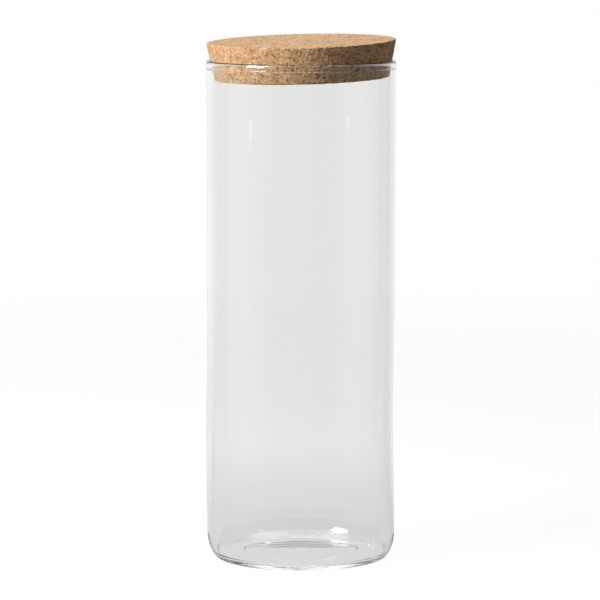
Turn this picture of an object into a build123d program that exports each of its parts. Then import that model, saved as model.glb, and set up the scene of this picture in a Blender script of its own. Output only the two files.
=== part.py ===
from build123d import *
from math import cos, radians, sin, sqrt, tan
import os

# A tall storage jar: a cylinder of clear borosilicate glass, closed by a tapered stopper of
# pressed cork. Lengths are in millimetres and angles in degrees. +Z is up, the origin is the
# middle of the ring that the jar stands on, and the photographed front faces -Y.

# The glass tube.
jar_height = 264.6
tube_diameter = 100.0
wall_thickness = 1.9

# The mouth. The flame rounds the cut edge into a tall bead, a little thicker than the wall.
lip_outward_swell = 0.4
lip_inward_swell = 0.35
lip_swell_length = 1.8
lip_side_radius = 5.0
lip_side_angle = 28.0

# The heel. The wall draws in slowly, then turns a small corner onto the foot ring.
heel_height = 12.5
heel_inset = 5.6
heel_corner_radius = 2.5

# The inside. The wall nearly keeps its thickness down the heel, then turns a corner onto a
# flat floor.
inside_heel_height = 13.0
inside_heel_radius = 18.5
floor_height = 2.8
floor_corner_radius = 3.5

# The push-up under the floor: a slight step up from the foot ring, then a shallow dome.
push_up_radius = 31.0
push_up_step_width = 1.5
push_up_step_height = 0.3
dome_rise = 0.9

# The pip of glass in the middle of the dome, where the tube was melted shut.
pip_radius = 4.2
pip_depth = 0.9

# The stopper. It stands a little crooked: its right side is up and its front edge is down.
stopper_thickness = 19.5
stopper_proud_height = 10.4
stopper_taper_angle = 11.7
stopper_edge_radius = 0.5
stopper_lean_left_angle = 1.35
stopper_lean_front_angle = 1.6

# The gap all round between the stopper and the mouth that it wedges in.
stopper_clearance = 0.15

# Radii and heights that the pieces share. The bead is widest at the bead's height.
tube_radius = tube_diameter / 2
mouth_radius = tube_radius - wall_thickness
bead_half_width = (wall_thickness + lip_outward_swell + lip_inward_swell) / 2
bead_circle_radius = tube_radius + lip_outward_swell - bead_half_width
bead_side_inset = (lip_side_radius - bead_half_width) / cos(radians(lip_side_angle))
bead_top_radius = lip_side_radius - bead_side_inset
bead_top_height = jar_height - bead_top_radius
bead_height = bead_top_height - bead_side_inset * sin(radians(lip_side_angle))
foot_radius = tube_radius - heel_inset
dome_radius = push_up_radius - push_up_step_width


def heel_arc_radius():
    """Radius of the slow arc that meets the wall and the foot's small corner smoothly."""
    drop = heel_height - heel_corner_radius
    squares = heel_inset**2 + drop**2 - heel_corner_radius**2
    return squares / (2 * (heel_inset - heel_corner_radius))


def heel_centre():
    """Middle of the slow arc of the heel outside."""
    return Vector(tube_radius - heel_arc_radius(), heel_height)


def bead_shoulder(side):
    """Where a side of the bead, 1 outside and -1 inside, meets the round of its top."""
    angle = radians(lip_side_angle)
    across = side * bead_top_radius * cos(angle)
    return (bead_circle_radius + across, bead_top_height + bead_top_radius * sin(angle))


def dome_ball_radius():
    """Radius of the ball that the dome under the floor is a cap of."""
    return (dome_radius**2 + dome_rise**2) / (2 * dome_rise)


def dome_height(radius):
    """Height of the dome at a distance from the axis."""
    ball_radius = dome_ball_radius()
    centre_height = push_up_step_height + dome_rise - ball_radius
    return centre_height + sqrt(ball_radius**2 - radius**2)


def underside_lines():
    """From the axis outwards: the pip, the dome, the step down and the flat foot ring."""
    pip_low = (0, dome_height(0) - pip_depth)
    pip_edge = (pip_radius, dome_height(pip_radius))
    step_top = (dome_radius, push_up_step_height)
    step_middle = (push_up_radius - push_up_step_width / 2, push_up_step_height / 2)
    step_foot = (push_up_radius, 0)
    return [
        TangentArc(pip_low, pip_edge, tangent=(1, 0)),
        RadiusArc(pip_edge, step_top, dome_ball_radius()),
        TangentArc(step_top, step_middle, tangent=(1, 0)),
        TangentArc(step_foot, step_middle, tangent=(-1, 0)),
        Line(step_foot, (foot_radius, 0)),
    ]


def outside_lines():
    """Up the outside: the foot's corner, the slow heel arc, the tube and the side of the bead."""
    corner_centre = Vector(foot_radius, heel_corner_radius)
    outwards = (corner_centre - heel_centre()).normalized()
    heel_meets_corner = corner_centre + outwards * heel_corner_radius
    heel_top = (tube_radius, heel_height)
    swell_start = (tube_radius, bead_height - lip_swell_length)
    swell_middle = (tube_radius + lip_outward_swell / 2, bead_height - lip_swell_length / 2)
    lip_side = (tube_radius + lip_outward_swell, bead_height)
    return [
        TangentArc((foot_radius, 0), heel_meets_corner, tangent=(1, 0)),
        TangentArc(heel_top, heel_meets_corner, tangent=(0, -1)),
        Line(heel_top, swell_start),
        TangentArc(swell_start, swell_middle, tangent=(0, 1)),
        TangentArc(lip_side, swell_middle, tangent=(0, -1)),
        TangentArc(lip_side, bead_shoulder(1), tangent=(0, 1)),
    ]


def inside_lines():
    """Over the bead, down the bore, in beside the heel, and over the floor to the axis."""
    lip_top = (bead_circle_radius, jar_height)
    lip_inside = (mouth_radius - lip_inward_swell, bead_height)
    swell_middle = (mouth_radius - lip_inward_swell / 2, bead_height - lip_swell_length / 2)
    swell_end = (mouth_radius, bead_height - lip_swell_length)
    heel_top = (mouth_radius, inside_heel_height)
    # The corner's circle lies against the inside of the slow arc and on the floor.
    arc_centre = Vector(mouth_radius - inside_heel_radius, inside_heel_height)
    corner_height = floor_height + floor_corner_radius
    reach = inside_heel_radius - floor_corner_radius
    drop = inside_heel_height - corner_height
    corner_centre = Vector(arc_centre.X + sqrt(reach**2 - drop**2), corner_height)
    outwards = (corner_centre - arc_centre).normalized()
    heel_meets_corner = corner_centre + outwards * floor_corner_radius
    floor_edge = (corner_centre.X, floor_height)
    return [
        ThreePointArc(bead_shoulder(1), lip_top, bead_shoulder(-1)),
        TangentArc(lip_inside, bead_shoulder(-1), tangent=(0, 1)),
        TangentArc(lip_inside, swell_middle, tangent=(0, -1)),
        TangentArc(swell_end, swell_middle, tangent=(0, 1)),
        Line(swell_end, heel_top),
        TangentArc(heel_top, heel_meets_corner, tangent=(0, -1)),
        TangentArc(floor_edge, heel_meets_corner, tangent=(1, 0)),
        Line(floor_edge, (0, floor_height)),
        Line((0, floor_height), (0, dome_height(0) - pip_depth)),
    ]


def glass_jar():
    """One piece of glass, turned about its axis."""
    outline = Wire(underside_lines() + outside_lines() + inside_lines())
    section = Plane.XZ * Face(outline)
    return revolve(section, Axis.Z)


def cork_stopper():
    """A tapered disc that leans in the mouth, seated where its side meets the bead."""
    taper = radians(stopper_taper_angle)
    seat_height = bead_height + lip_side_radius * sin(taper)
    seat_inset = lip_inward_swell - lip_side_radius * (1 - cos(taper))
    seat_radius = mouth_radius - seat_inset - stopper_clearance / cos(taper)
    top_above_seat = jar_height + stopper_proud_height - seat_height
    bottom_below_seat = stopper_thickness - top_above_seat
    plug = Cone(
        seat_radius - bottom_below_seat * tan(taper),
        seat_radius + top_above_seat * tan(taper),
        stopper_thickness,
        align=(Align.CENTER, Align.CENTER, Align.MIN),
    )
    plug = fillet(plug.edges().filter_by(GeomType.CIRCLE), stopper_edge_radius)
    # A leaning taper is cut off centre by the mouth, so the stopper sits that much to the side.
    lean = Rot(stopper_lean_front_angle, -stopper_lean_left_angle, 0)
    up = lean.z_axis.direction
    off_centre = seat_radius * tan(taper)
    seat = Pos(-up.X * off_centre, -up.Y * off_centre, seat_height)
    return seat * lean * Pos(0, 0, -bottom_below_seat) * plug


os.makedirs("parts", exist_ok=True)
export_step(glass_jar(), "parts/glass_jar.step")
export_step(cork_stopper(), "parts/cork_stopper.step")
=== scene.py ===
from math import asin, atan, atan2, cos, exp, hypot, pi, radians, sin, sqrt, tan

import bmesh
import bpy
from mathutils import Euler, Matrix, Vector, noise


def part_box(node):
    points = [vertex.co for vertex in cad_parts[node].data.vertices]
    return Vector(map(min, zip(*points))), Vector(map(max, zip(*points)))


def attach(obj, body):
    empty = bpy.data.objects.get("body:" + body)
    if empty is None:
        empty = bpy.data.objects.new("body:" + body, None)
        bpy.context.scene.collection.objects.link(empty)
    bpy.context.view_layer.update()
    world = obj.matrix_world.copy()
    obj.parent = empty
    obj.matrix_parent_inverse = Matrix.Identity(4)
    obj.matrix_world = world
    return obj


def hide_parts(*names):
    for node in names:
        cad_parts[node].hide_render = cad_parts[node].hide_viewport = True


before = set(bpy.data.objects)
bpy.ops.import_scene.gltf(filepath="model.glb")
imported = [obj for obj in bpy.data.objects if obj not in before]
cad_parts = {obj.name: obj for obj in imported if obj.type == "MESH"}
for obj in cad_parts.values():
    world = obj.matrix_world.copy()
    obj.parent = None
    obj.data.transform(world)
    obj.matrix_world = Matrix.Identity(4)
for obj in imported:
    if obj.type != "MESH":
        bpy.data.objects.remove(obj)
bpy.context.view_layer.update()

# The camera stands 1.8 m in front of the jar, a little above its stopper, and looks slightly down
# through a long lens, as a catalogue picture is taken.
camera_distance = 1.8005
camera_height = 0.3572
camera_aside = -0.00063
camera_pitch = radians(6.963)
sensor_width = 36.0
lens_length = 204.82

camera = bpy.data.objects.new("camera", bpy.data.cameras.new("camera"))
camera.data.sensor_width = sensor_width
camera.data.lens = lens_length
camera.location = (camera_aside, -camera_distance, camera_height)
camera.rotation_euler = (pi / 2 - camera_pitch, 0, 0)
bpy.context.scene.collection.objects.link(camera)
bpy.context.scene.camera = camera


# The jar is one cylinder of clear borosilicate glass. It was drawn as a tube, its lip rounded in
# the flame, and its end closed by hand, which left a soft heel, a shallow dome underneath with a
# pip in the middle, and a slight wander in the wall.
jar_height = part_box("glass_jar")[1].z
tube_radius = 0.050
wall_thickness = 0.0019
lip_outward_swell = 0.0004
lip_inward_swell = 0.00035
lip_swell_length = 0.0018
lip_side_radius = 0.005
lip_side_angle = radians(28)
heel_height = 0.0125
heel_inset = 0.0056
heel_corner_radius = 0.0025
inside_heel_height = 0.013
inside_heel_radius = 0.0185
floor_height = 0.0028
floor_corner_radius = 0.0035
push_up_radius = 0.031
push_up_step_width = 0.0015
push_up_step_height = 0.0003
dome_rise = 0.0009
pip_radius = 0.0042
pip_depth = 0.0009

mouth_radius = tube_radius - wall_thickness
foot_radius = tube_radius - heel_inset
dome_radius = push_up_radius - push_up_step_width
bead_half_width = (wall_thickness + lip_outward_swell + lip_inward_swell) / 2
bead_x = tube_radius + lip_outward_swell - bead_half_width
bead_side_inset = (lip_side_radius - bead_half_width) / cos(lip_side_angle)
bead_top_height = jar_height - lip_side_radius + bead_side_inset
bead_height = bead_top_height - bead_side_inset * sin(lip_side_angle)
heel_drop = heel_height - heel_corner_radius
heel_squares = heel_inset**2 + heel_drop**2 - heel_corner_radius**2
heel_arc_radius = heel_squares / (2 * (heel_inset - heel_corner_radius))
heel_arc_x = tube_radius - heel_arc_radius

lathe_steps = 360
corner_steps = 10
dome_steps = 12
ease_steps = 8
weld_distance = 0.000002
# The shortest length of a wall, a floor and a foot ring in the profile, and the cuts in each.
run_cuts = [(0.130, 40), (0.016, 10), (0.006, 4)]

bow_depth = 0.0008
bow_height = 0.070
bow_length = 0.044
waist_depth = 0.00035
waist_height = 0.105
waist_length = 0.035
wander_depth = 0.00010
wander_around = 1.1
wander_up = 14
stria_depth = 0.000010
stria_around = 7
stria_up = 3
inner_stria_shift = 7.0
# The middle of the floor stays true, and further out than this the glass wanders fully.
true_radius = 0.50 * tube_radius
loose_radius = 0.75 * tube_radius

glass_index = 1.473
glass_tint = (0.985, 0.988, 0.980, 1)
shade_tint = (0.93, 0.94, 0.93, 1)
draw_line_scale = (90, 90, 4)
haze_roughness = 0.02
haze_limits = (0.45, 0.80)
# The draw lines fade over this stretch below the bead, where the flame has polished the glass.
line_fade = (bead_height - 0.012, bead_height - 0.004)


def run_to(mesh, last, x, z):
    """Draws a straight run of a profile on from its last vertex."""
    made = bmesh.ops.extrude_vert_indiv(mesh, verts=[last])
    made["verts"][0].co = (x, 0, z)
    return made["verts"][0]


def turn_about(mesh, last, x, z, angle, steps=corner_steps):
    """Draws an arc of a profile on from its last vertex, about (x, z). Up turns outwards."""
    centre = (x, 0, z)
    made = bmesh.ops.spin(
        mesh, geom=[last], cent=centre, axis=(0, 1, 0), angle=angle, steps=steps
    )
    return [part for part in made["geom_last"] if isinstance(part, bmesh.types.BMVert)][0]


def ease_to(mesh, last, x, z, upright):
    """Draws a smooth step to (x, z) as two equal arcs, upright or level at both of its ends."""
    across = x - last.co.x
    up = z - last.co.z
    squares = across**2 + up**2
    if upright:
        radius = squares / (4 * across)
        angle = 2 * atan(across / up)
        last = turn_about(mesh, last, last.co.x + radius, last.co.z, angle, ease_steps)
        return turn_about(mesh, last, x - radius, z, -angle, ease_steps)
    radius = squares / (4 * up)
    angle = 2 * atan(up / across)
    last = turn_about(mesh, last, last.co.x, last.co.z + radius, -angle, ease_steps)
    return turn_about(mesh, last, x, z - radius, angle, ease_steps)


def turn_on_lathe(mesh):
    """Spins a profile about the upright axis and closes it at its poles."""
    bmesh.ops.spin(
        mesh,
        geom=mesh.verts[:] + mesh.edges[:],
        cent=(0, 0, 0),
        axis=(0, 0, 1),
        angle=2 * pi,
        steps=lathe_steps,
        use_merge=True,
    )
    bmesh.ops.remove_doubles(mesh, verts=mesh.verts[:], dist=weld_distance)
    if mesh.calc_volume(signed=True) < 0:
        bmesh.ops.reverse_faces(mesh, faces=mesh.faces[:])
    for face in mesh.faces:
        face.smooth = True


def draw_underside(mesh):
    """From the axis outwards: the pip, the dome, the step down and the flat foot ring."""
    ball_radius = (dome_radius**2 + dome_rise**2) / (2 * dome_rise)
    ball_height = push_up_step_height + dome_rise - ball_radius
    pip_low = push_up_step_height + dome_rise - pip_depth
    pip_rise = ball_height + sqrt(ball_radius**2 - pip_radius**2) - pip_low
    pip_ball = (pip_radius**2 + pip_rise**2) / (2 * pip_rise)
    dome_angle = asin(dome_radius / ball_radius) - asin(pip_radius / ball_radius)

    last = mesh.verts.new((0, 0, pip_low))
    last = turn_about(mesh, last, 0, pip_low + pip_ball, -asin(pip_radius / pip_ball))
    last = turn_about(mesh, last, 0, ball_height, dome_angle, dome_steps)
    last = ease_to(mesh, last, push_up_radius, 0, upright=False)
    return run_to(mesh, last, foot_radius, 0)


def draw_outside(mesh, last):
    """Up the outside: the foot's corner, the slow heel arc, the tube and the side of the bead."""
    corner_turn = atan2(foot_radius - heel_arc_x, heel_drop)
    heel_turn = pi / 2 - corner_turn
    last = turn_about(mesh, last, foot_radius, heel_corner_radius, -corner_turn)
    last = turn_about(mesh, last, heel_arc_x, heel_height, -heel_turn, 2 * corner_steps)
    last = run_to(mesh, last, tube_radius, bead_height - lip_swell_length)
    last = ease_to(mesh, last, tube_radius + lip_outward_swell, bead_height, upright=True)
    side_x = last.co.x - lip_side_radius
    return turn_about(mesh, last, side_x, bead_height, -lip_side_angle)


def draw_inside(mesh, last):
    """Over the lip's bead, down the bore, in beside the heel, and over the floor to the axis."""
    top_turn = pi - 2 * lip_side_angle
    last = turn_about(mesh, last, bead_x, bead_top_height, -top_turn, 2 * corner_steps)
    side_x = mouth_radius - lip_inward_swell + lip_side_radius
    last = turn_about(mesh, last, side_x, bead_height, -lip_side_angle)
    last = ease_to(mesh, last, mouth_radius, bead_height - lip_swell_length, upright=True)
    last = run_to(mesh, last, mouth_radius, inside_heel_height)
    corner_height = floor_height + floor_corner_radius
    inside_x = mouth_radius - inside_heel_radius
    reach = inside_heel_radius - floor_corner_radius
    heel_turn = asin((inside_heel_height - corner_height) / reach)
    corner_x = inside_x + reach * cos(heel_turn)
    last = turn_about(mesh, last, inside_x, inside_heel_height, heel_turn, 2 * corner_steps)
    last = turn_about(mesh, last, corner_x, corner_height, pi / 2 - heel_turn)
    return run_to(mesh, last, 0, floor_height)


def divide_runs(mesh):
    """Cuts the profile's straight runs, so that they can bend."""
    for edge in mesh.edges[:]:
        length = edge.calc_length()
        for shortest, cuts in run_cuts:
            if length > shortest:
                bmesh.ops.subdivide_edges(mesh, edges=[edge], cuts=cuts)
                break


def wall_noise(around, height, scale_around, scale_up, shift=0.0):
    """Smooth noise over the wall, by how fast it changes round the jar and up it."""
    along = height * scale_up + shift
    return noise.noise(Vector((around.x * scale_around, around.y * scale_around, along)))


def wander(point):
    """Moves a point of the true cylinder to where it went while the glass was soft."""
    radius = hypot(point.x, point.y)
    if radius < true_radius:
        return
    wall_share = min(1.0, (radius - true_radius) / (loose_radius - true_radius))
    around = Vector((point.x, point.y, 0)) / radius
    shift = inner_stria_shift if radius < mouth_radius + wall_thickness / 2 else 0.0
    slow = wall_noise(around, point.z, wander_around, wander_up)
    fine = wall_noise(around, point.z, stria_around, stria_up, shift)
    polished = min(1.0, max(0.0, (bead_height - lip_swell_length - point.z) / lip_side_radius))
    moved = wall_share * (wander_depth * slow + stria_depth * fine * polished)
    moved -= wall_share * waist_depth * exp(-(((point.z - waist_height) / waist_length) ** 2))
    bowed = bow_depth * exp(-(((point.z - bow_height) / bow_length) ** 2))
    point.x += around.x * moved - bowed
    point.y += around.y * moved


class Signal:
    """A socket of a node tree. Arithmetic adds Math nodes, and node() adds any other node."""

    def __init__(self, tree, socket=None):
        self.tree = tree
        self.socket = socket

    def node(self, kind, settings=None, sockets=None, output=0):
        made = self.tree.nodes.new(kind)
        for name, value in (settings or {}).items():
            if name == "stops":
                set_stops(made.color_ramp, value)
            else:
                setattr(made, name, value)
        for name, value in (sockets or {}).items():
            if isinstance(value, Signal):
                self.tree.links.new(value.socket, made.inputs[name])
            else:
                made.inputs[name].default_value = value
        return Signal(self.tree, made.outputs[output]) if made.outputs else None

    def maths(self, operation, first, second):
        return self.node("ShaderNodeMath", {"operation": operation}, {0: first, 1: second})

    def __add__(self, other):
        return self.maths("ADD", self, other)

    def __radd__(self, other):
        return self.maths("ADD", other, self)

    def __sub__(self, other):
        return self.maths("SUBTRACT", self, other)

    def __rsub__(self, other):
        return self.maths("SUBTRACT", other, self)

    def __mul__(self, other):
        return self.maths("MULTIPLY", self, other)

    def __rmul__(self, other):
        return self.maths("MULTIPLY", other, self)

    def rise(self, low, high):
        """0 below low, 1 above high, and smooth between."""
        settings = {"interpolation_type": "SMOOTHSTEP"}
        sockets = {"Value": self, "From Min": low, "From Max": high}
        return self.node("ShaderNodeMapRange", settings, sockets)


def set_stops(ramp, stops):
    """Gives a colour ramp its (place, colour) stops."""
    while len(ramp.elements) < len(stops):
        ramp.elements.new(1.0)
    for element, (place, colour) in zip(ramp.elements, stops):
        element.position = place
        element.color = (*colour, 1.0)


def mixed(share, low, high):
    """One colour laid over another."""
    return share.node("ShaderNodeMix", {"data_type": "RGBA"}, {0: share, 6: low, 7: high}, 2)


def numbers(vector):
    """The three numbers of a vector or colour."""
    return [vector.node("ShaderNodeSeparateXYZ", None, {0: vector}, axis) for axis in "XYZ"]


def ray(start, kind):
    """What Light Path says of a ray, such as 1 if it is of one kind, else 0."""
    return start.node("ShaderNodeLightPath", output=kind)


def new_material(name):
    """An empty material, a signal to start its nodes from, and where its surface goes."""
    material = bpy.data.materials.new(name)
    material.use_nodes = True
    material.node_tree.nodes.clear()
    output = material.node_tree.nodes.new("ShaderNodeOutputMaterial")
    return material, Signal(material.node_tree), output.inputs["Surface"]


def clear_glass():
    """Flame-polished glass. Only its draw lines and a trace of haze vary."""
    material, start, surface = new_material("clear_glass")
    place = start.node("ShaderNodeTexCoord", output="Object")
    drawn = start.node("ShaderNodeMapping", None, {"Vector": place, "Scale": draw_line_scale})
    lines = start.node("ShaderNodeTexNoise", None, {"Vector": drawn, "Scale": 1, "Detail": 3})
    haze = start.node("ShaderNodeTexNoise", None, {"Vector": place, "Scale": 40, "Detail": 4})
    below_lip = 1 - numbers(place)[2].rise(*line_fade)
    bump = {"Height": lines * below_lip, "Strength": 0.06, "Distance": 0.0002}
    glass = {
        "Base Color": glass_tint,
        "Roughness": haze.rise(*haze_limits) * haze_roughness,
        "IOR": glass_index,
        "Transmission Weight": 1.0,
        "Normal": start.node("ShaderNodeBump", None, bump),
    }
    glass = start.node("ShaderNodeBsdfPrincipled", None, glass)
    clear = start.node("ShaderNodeBsdfTransparent", None, {"Color": shade_tint})
    for kind in ("Is Shadow Ray", "Is Diffuse Ray"):
        glass = start.node("ShaderNodeMixShader", None, {0: ray(start, kind), 1: glass, 2: clear})
    start.tree.links.new(glass.socket, surface)
    return material


def new_piece(name, mesh, material):
    """Makes an object of a finished bmesh, in its place."""
    data = bpy.data.meshes.new(name)
    mesh.to_mesh(data)
    mesh.free()
    data.materials.append(material)
    piece = bpy.data.objects.new(name, data)
    bpy.context.scene.collection.objects.link(piece)
    return piece


mesh = bmesh.new()
last = draw_underside(mesh)
last = draw_outside(mesh, last)
draw_inside(mesh, last)
divide_runs(mesh)
turn_on_lathe(mesh)
for vertex in mesh.verts:
    wander(vertex.co)
glass_piece = new_piece("drawn_glass", mesh, clear_glass())
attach(glass_piece, "jar")
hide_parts("glass_jar")


# The stopper is a tapered disc of pressed cork: granules of one to three millimetres, bound
# together, cut and sanded. Some granules are dark bark, some have left a hole, and the edges are
# a little chipped. It was pushed in slightly crooked.
stopper_thickness = 0.0195
stopper_proud_height = 0.0104
stopper_taper = radians(11.7)
stopper_edge_radius = 0.0005
edge_steps = 4
stopper_lean_left = radians(1.35)
stopper_lean_front = radians(1.6)
stopper_clearance = 0.00015

granule_size = 0.0018
granule_sway = 0.001
crumb_size = 0.00065
sliver_size = 0.0008
sliver_turn = (0.5, 0.7, 0.9)
sliver_squeeze = (1, 0.25, 0.6)
voxel_size = 0.0005
hole_depth = 0.00040
granule_step = 0.00012
crumb_depth = 0.00010
patch_scale = 190
# Where each kind of grain begins to show and where it shows fully, on the noise that places it.
seams = (0.02, 0.14)
holes = (0.66, 0.72)
patches = (0.35, 0.65)
pale_slivers = (0.90, 0.93)
bark_slivers = (0.93, 0.96)
bark_crumbs = (0.90, 0.93)

# How much each kind of grain sways the tone, how strongly seams and bark cover it, and how dark
# the holes are painted: painted shade in the pits.
granule_share = 0.45
crumb_share = 0.55
patch_share = 0.5
seam_cover = 0.35
bark_cover = 0.8
hole_shade_cover = 0.85
cork_roughness = 0.72
crumb_roughness = 0.2
crumb_relief = 0.5

bark = (0.22, 0.090, 0.034)
brown = (0.55, 0.285, 0.118)
tan_cork = (0.77, 0.440, 0.208)
pale = (0.86, 0.525, 0.272)
palest = (0.95, 0.665, 0.405)


def draw_stopper(mesh):
    """The smooth tapered disc, upright, with the height of its seat at zero."""
    slope = tan(stopper_taper)
    play = stopper_clearance / cos(stopper_taper)
    seat_inset = lip_inward_swell - lip_side_radius * (1 - cos(stopper_taper))
    seat_radius = mouth_radius - seat_inset - play
    seat_height = bead_height + lip_side_radius * sin(stopper_taper)
    top = jar_height + stopper_proud_height - seat_height
    bottom = top - stopper_thickness
    low_turn = pi / 2 - stopper_taper
    high_turn = pi / 2 + stopper_taper
    low_x = seat_radius + bottom * slope - stopper_edge_radius * tan(low_turn / 2)
    high_x = seat_radius + top * slope - stopper_edge_radius * tan(high_turn / 2)

    last = mesh.verts.new((0, 0, bottom))
    last = run_to(mesh, last, low_x, bottom)
    last = turn_about(mesh, last, low_x, bottom + stopper_edge_radius, -low_turn, edge_steps)
    side_x = high_x + stopper_edge_radius * cos(stopper_taper)
    side_z = top - stopper_edge_radius * (1 + sin(stopper_taper))
    last = run_to(mesh, last, side_x, side_z)
    last = turn_about(mesh, last, high_x, top - stopper_edge_radius, -high_turn, edge_steps)
    run_to(mesh, last, 0, top)
    turn_on_lathe(mesh)

    lean = Euler((stopper_lean_front, -stopper_lean_left, 0)).to_matrix().to_4x4()
    up = lean @ Vector((0, 0, 1))
    aside = Vector((-up.x, -up.y, 0)) * seat_radius * slope
    seat = Matrix.Translation(aside + Vector((0, 0, seat_height)))
    bmesh.ops.transform(mesh, matrix=seat @ lean, verts=mesh.verts[:])


def cork_grain(place):
    """What lies at a place in the cork. It shapes the surface and colours it alike."""
    sway = {"Vector": place, "Scale": 650, "Detail": 2}
    sway = place.node("ShaderNodeTexNoise", None, sway, "Color")
    sway = {0: sway, 1: [granule_sway] * 3, 2: place}
    bent = place.node("ShaderNodeVectorMath", {"operation": "MULTIPLY_ADD"}, sway)
    cell = {"Vector": bent, "Scale": 1 / granule_size}
    granule = place.node("ShaderNodeTexVoronoi", None, cell, "Color")
    seam = place.node("ShaderNodeTexVoronoi", {"feature": "DISTANCE_TO_EDGE"}, cell, "Distance")
    crumb = {"Vector": bent, "Scale": 1 / crumb_size}
    crumb = place.node("ShaderNodeTexVoronoi", None, crumb, "Color")
    thin = {"Vector": bent, "Rotation": sliver_turn}
    thin = place.node("ShaderNodeVectorRotate", {"rotation_type": "EULER_XYZ"}, thin)
    thin = {0: thin, 1: sliver_squeeze}
    thin = place.node("ShaderNodeVectorMath", {"operation": "MULTIPLY"}, thin)
    sliver = {"Vector": thin, "Scale": 1 / sliver_size}
    sliver = place.node("ShaderNodeTexVoronoi", None, sliver, "Color")
    fleck = {"Vector": place, "Scale": 1300, "Detail": 1}
    fleck = place.node("ShaderNodeTexNoise", None, fleck)
    return {
        "granule": numbers(granule),
        "seam": 1 - seam.rise(*seams),
        "crumb": numbers(crumb),
        "sliver": numbers(sliver),
        "hole": fleck.rise(*holes),
        "fleck": fleck,
        "patch": place.node("ShaderNodeTexNoise", None, {"Vector": place, "Scale": patch_scale}),
    }


def sink_grain(piece):
    """Sinks holes, seams and crumbs into the stopper's skin, and only inwards."""
    tree = bpy.data.node_groups.new("cork_relief", "GeometryNodeTree")
    for way in ("INPUT", "OUTPUT"):
        tree.interface.new_socket("Skin", in_out=way, socket_type="NodeSocketGeometry")
    start = Signal(tree)
    skin = start.node("NodeGroupInput")
    grain = cork_grain(start.node("GeometryNodeInputPosition"))
    depth = grain["hole"] * hole_depth + grain["seam"] * crumb_depth
    depth = depth + grain["granule"][1] * granule_step + grain["crumb"][1] * crumb_depth
    inwards = {0: start.node("GeometryNodeInputNormal"), "Scale": depth * -1}
    inwards = start.node("ShaderNodeVectorMath", {"operation": "SCALE"}, inwards)
    sunk = start.node("GeometryNodeSetPosition", None, {"Geometry": skin, "Offset": inwards})
    start.node("NodeGroupOutput", None, {0: sunk})
    piece.modifiers.new("relief", "NODES").node_group = tree


def pressed_cork():
    """Granules in four browns, dark bark and pale slivers, sanded dull, with the holes painted
    dark as painted shade.
    """
    material, start, surface = new_material("pressed_cork")
    grain = cork_grain(start.node("ShaderNodeTexCoord", output="Object"))
    tones = [(0.0, brown), (0.25, tan_cork), (0.65, pale), (1.0, palest)]
    tone = grain["granule"][0] * granule_share + grain["crumb"][0] * crumb_share
    tone = tone + (grain["patch"].rise(*patches) - 0.5) * patch_share
    colour = start.node("ShaderNodeValToRGB", {"stops": tones}, {0: tone})
    layers = [
        (grain["sliver"][0].rise(*pale_slivers), palest),
        (grain["sliver"][1].rise(*bark_slivers) * bark_cover, bark),
        (grain["crumb"][2].rise(*bark_crumbs) * bark_cover, bark),
        (grain["seam"] * seam_cover, brown),
        # Holes painted bark-dark: painted shade in the pits, laid over the real sunk holes.
        (grain["hole"] * hole_shade_cover, bark),
    ]
    for share, paint in layers:
        colour = mixed(share, colour, (*paint, 1))
    height = grain["fleck"] * -1 - grain["hole"] + grain["crumb"][1] * crumb_relief
    bump = {"Height": height, "Strength": 0.7, "Distance": 0.0003}
    cork = {
        "Base Color": colour,
        "Roughness": cork_roughness + grain["crumb"][1] * crumb_roughness,
        "Specular IOR Level": 0.25,
        "Sheen Weight": 0.12,
        "Sheen Roughness": 0.5,
        "Normal": start.node("ShaderNodeBump", None, bump),
    }
    cork = start.node("ShaderNodeBsdfPrincipled", None, cork)
    start.tree.links.new(cork.socket, surface)
    return material


def finish_modifiers(piece):
    """Keeps a piece's shape as its modifiers give it."""
    shaped = piece.evaluated_get(bpy.context.evaluated_depsgraph_get())
    data = bpy.data.meshes.new_from_object(shaped)
    piece.modifiers.clear()
    piece.data = data
    data.shade_smooth()


mesh = bmesh.new()
draw_stopper(mesh)
cork_piece = new_piece("pressed_stopper", mesh, pressed_cork())
remesh = cork_piece.modifiers.new("even_skin", "REMESH")
remesh.mode = "VOXEL"
remesh.voxel_size = voxel_size
sink_grain(cork_piece)
finish_modifiers(cork_piece)
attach(cork_piece, "stopper")
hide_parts("cork_stopper")


# The studio is a white floor that fades into a white surround. One large soft lamp stands to the
# front left and above. Four small low ones beside it give the wall its faint upright glints.
floor_radius = 1.3
floor_sides = 96
floor_fade = (0.5, floor_radius)
floor_gap = 0.0003
floor_paint = (0.85, 0.85, 0.85, 1)
floor_bounce = (0.40, 0.39, 0.38, 1)

# How bright the floor and each part of the room are: to the eye first, then as the glass shows
# them, and last as the plain soft light that they give.
camera_glow = 1.19
glow_share = 0.7
backdrop_glow = 0.90
backdrop_slope = 0.03
left_glow = 0.62
right_glow = 0.30
front_glow = 0.08
flank_glow = 0.80
ceiling_glow = 7.0
low_sky_dimming = 0.10
# Painted shadow: how dimly the floor beside the jar glows as glass shows it.
jar_shadow_glow = 0.72
floor_lift = 0.12
surround_behind = 0.22
surround_front = 0.03
surround_above = 0.08
warm_fill = (1.0, 0.86, 0.80, 1)
cool_fill = (0.80, 0.95, 1.12, 1)

# Where one part of the room gives way to the next, on the way to the right, to the back or up.
left_to_right = (-0.12, 0.12)
front_to_flank = (-0.95, -0.25)
left_to_backdrop = (0.62, 0.72)
right_to_backdrop = (0.58, 0.95)
flank_to_clear_view = (0.20, 0.45)
front_to_behind = (-0.4, 0.7)
horizon_to_sky = (0.02, 0.12)
sky_to_ceiling = (0.75, 0.92)
warm_to_cool = (0.1, 0.8)
# The floor beside the jar glows dimmer as glass shows it, a painted shadow of the jar. Further
# out it gives way to the room and lifts towards the right.
near_to_far = (0.05, 0.40)
floor_lift_side = (-0.6, 0.1)

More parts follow.
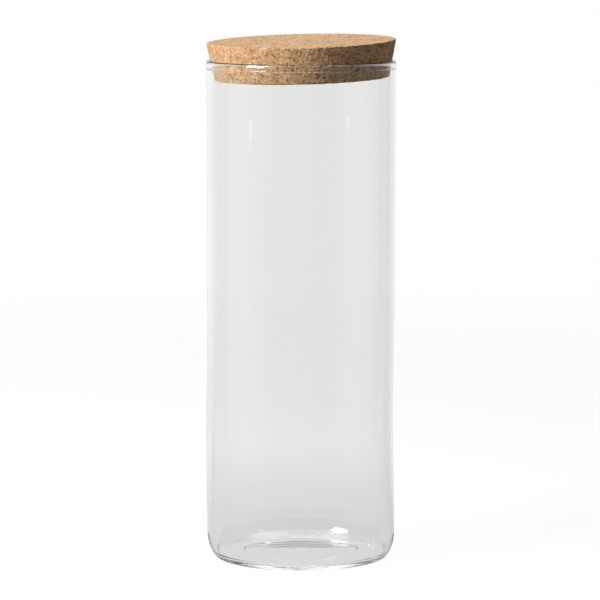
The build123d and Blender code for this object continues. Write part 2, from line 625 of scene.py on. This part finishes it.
key_distance = 2.0
key_azimuth = radians(-60)
key_height = radians(33)
key_target = 0.15
key_size = 0.78
key_power = 48.5

glint_reach = 1.2
glint_power = 5.0


def kinds_of_ray(start):
    """1 for the eye's own rays, and 1 for those that glass or gloss has bent or mirrored."""
    seen = ray(start, "Is Camera Ray")
    through = ray(start, "Is Transmission Ray")
    return seen, start.maths("MAXIMUM", through, ray(start, "Is Glossy Ray"))


def glow_around(side, depth):
    """The room round the jar: a backdrop, a bright left, a dim right and a dark front."""
    right = side.rise(*left_to_right)
    flank = left_glow + right * (right_glow - left_glow)
    glow = front_glow + depth.rise(*front_to_flank) * (flank - front_glow)
    left_edge = depth.rise(*left_to_backdrop)
    backdrop = left_edge + right * (depth.rise(*right_to_backdrop) - left_edge)
    return glow + backdrop * (backdrop_glow + backdrop_slope * (1 - 2 * right) - glow)


def glow_in_glass(surfaces_met, side, depth):
    """The room as glass shows it. Seen through it, the front is as pale as the backdrop.

    A ray that only passes through walls has met an even number of surfaces, and one that is
    mirrored once on its way has met an odd number.
    """
    mirrored = depth.maths("MODULO", surfaces_met, 2)
    slant = depth.maths("ABSOLUTE", depth, 0)
    through = glow_around(side, slant)
    through = flank_glow + slant.rise(*flank_to_clear_view) * (through - flank_glow)
    return through + mirrored * (glow_around(side, depth) - through)


def pale_floor():
    """White where it is seen, with the jar's soft shadow and, where glass shows it, a painted
    shadow beside the jar. Plain paint for bounced light.
    """
    material, start, surface = new_material("pale_floor")
    seen, shown = kinds_of_ray(start)
    place = start.node("ShaderNodeTexCoord", output="Object")
    away = start.node("ShaderNodeVectorMath", {"operation": "LENGTH"}, {0: place}, "Value")
    way = start.node("ShaderNodeVectorMath", {"operation": "NORMALIZE"}, {0: place})
    side, depth = numbers(way)[:2]
    far = glow_in_glass(ray(start, "Ray Depth"), side, depth)
    far = far + floor_lift * side.rise(*floor_lift_side)
    # Beside the jar the glow falls to the painted shadow.
    glow = jar_shadow_glow + away.rise(*near_to_far) * (far - jar_shadow_glow)
    strength = seen * camera_glow + shown * glow
    glow = start.node("ShaderNodeEmission", None, {"Strength": strength})
    paint = mixed(seen + shown, floor_bounce, floor_paint)
    paint = start.node("ShaderNodeBsdfDiffuse", None, {"Color": paint})
    share = (seen + shown) * glow_share
    lit = start.node("ShaderNodeMixShader", None, {0: share, 1: paint, 2: glow})
    clear = start.node("ShaderNodeBsdfTransparent")
    faded = {0: away.rise(*floor_fade), 1: lit, 2: clear}
    faded = start.node("ShaderNodeMixShader", None, faded)
    start.tree.links.new(faded.socket, surface)
    return material


def light_surround():
    """A white surround: bright to the eye, dimmer in the glass, and soft light on the cork."""
    world = bpy.data.worlds.new("surround")
    bpy.context.scene.world = world
    world.use_nodes = True
    world.node_tree.nodes.clear()
    start = Signal(world.node_tree)
    seen, shown = kinds_of_ray(start)
    side, depth, height = numbers(start.node("ShaderNodeTexCoord", output="Generated"))
    soft = surround_front + depth.rise(*front_to_behind) * (surround_behind - surround_front)
    # In the surround a ray counts itself as one surface more.
    glow = glow_in_glass(ray(start, "Ray Depth") + 1, side, depth)
    glow = glow * (1 - height.rise(*horizon_to_sky) * low_sky_dimming)
    glow = glow + height.rise(*sky_to_ceiling) * (ceiling_glow - glow)
    above = height.rise(*warm_to_cool)
    soft = soft + above * surround_above
    strength = seen + shown * glow + (1 - seen - shown) * soft
    colour = mixed(above, warm_fill, cool_fill)
    colour = mixed(seen + shown, colour, (1, 1, 1, 1))
    glow = {"Color": colour, "Strength": strength}
    glow = start.node("ShaderNodeBackground", None, glow)
    start.node("ShaderNodeOutputWorld", None, {"Surface": glow})


def new_lamp(name, place, target, size, power):
    """A soft rectangular lamp that faces a target."""
    lamp = bpy.data.objects.new(name, bpy.data.lights.new(name, "AREA"))
    lamp.data.shape = "RECTANGLE"
    lamp.data.size, lamp.data.size_y = size
    lamp.data.energy = power
    lamp.location = place
    lamp.rotation_euler = (Vector(place) - Vector(target)).to_track_quat("Z", "Y").to_euler()
    lamp.visible_camera = False
    bpy.context.scene.collection.objects.link(lamp)


mesh = bmesh.new()
bmesh.ops.create_circle(mesh, cap_ends=True, radius=floor_radius, segments=floor_sides)
bmesh.ops.translate(mesh, vec=(0, 0, -floor_gap), verts=mesh.verts[:])
new_piece("studio_floor", mesh, pale_floor())
light_surround()

key_reach = key_distance * cos(key_height)
key_place = (
    key_reach * sin(key_azimuth),
    -key_reach * cos(key_azimuth),
    key_target + key_distance * sin(key_height),
)
new_lamp("key_lamp", key_place, (0, 0, key_target), (key_size, key_size), key_power)
# Each glint lamp's azimuth and height, and how wide and tall its face is.
glint_lamps = [
    (radians(-63.9), 0.145, 0.050, 0.014),
    (radians(-63.9), 0.131, 0.030, 0.003),
    (radians(-63.9), 0.107, 0.030, 0.004),
    (radians(-88.0), 0.166, 0.020, 0.010),
]
for azimuth, height, width, tall in glint_lamps:
    place = (glint_reach * sin(azimuth), -glint_reach * cos(azimuth), height)
    new_lamp("glint_lamp", place, (0, 0, height), (width, tall), glint_power * width * tall)

bpy.context.scene.view_settings.view_transform = "Standard"
glass_bounces = 24
bpy.context.scene.cycles.max_bounces = glass_bounces
bpy.context.scene.cycles.glossy_bounces = glass_bounces
bpy.context.scene.cycles.transmission_bounces = glass_bounces
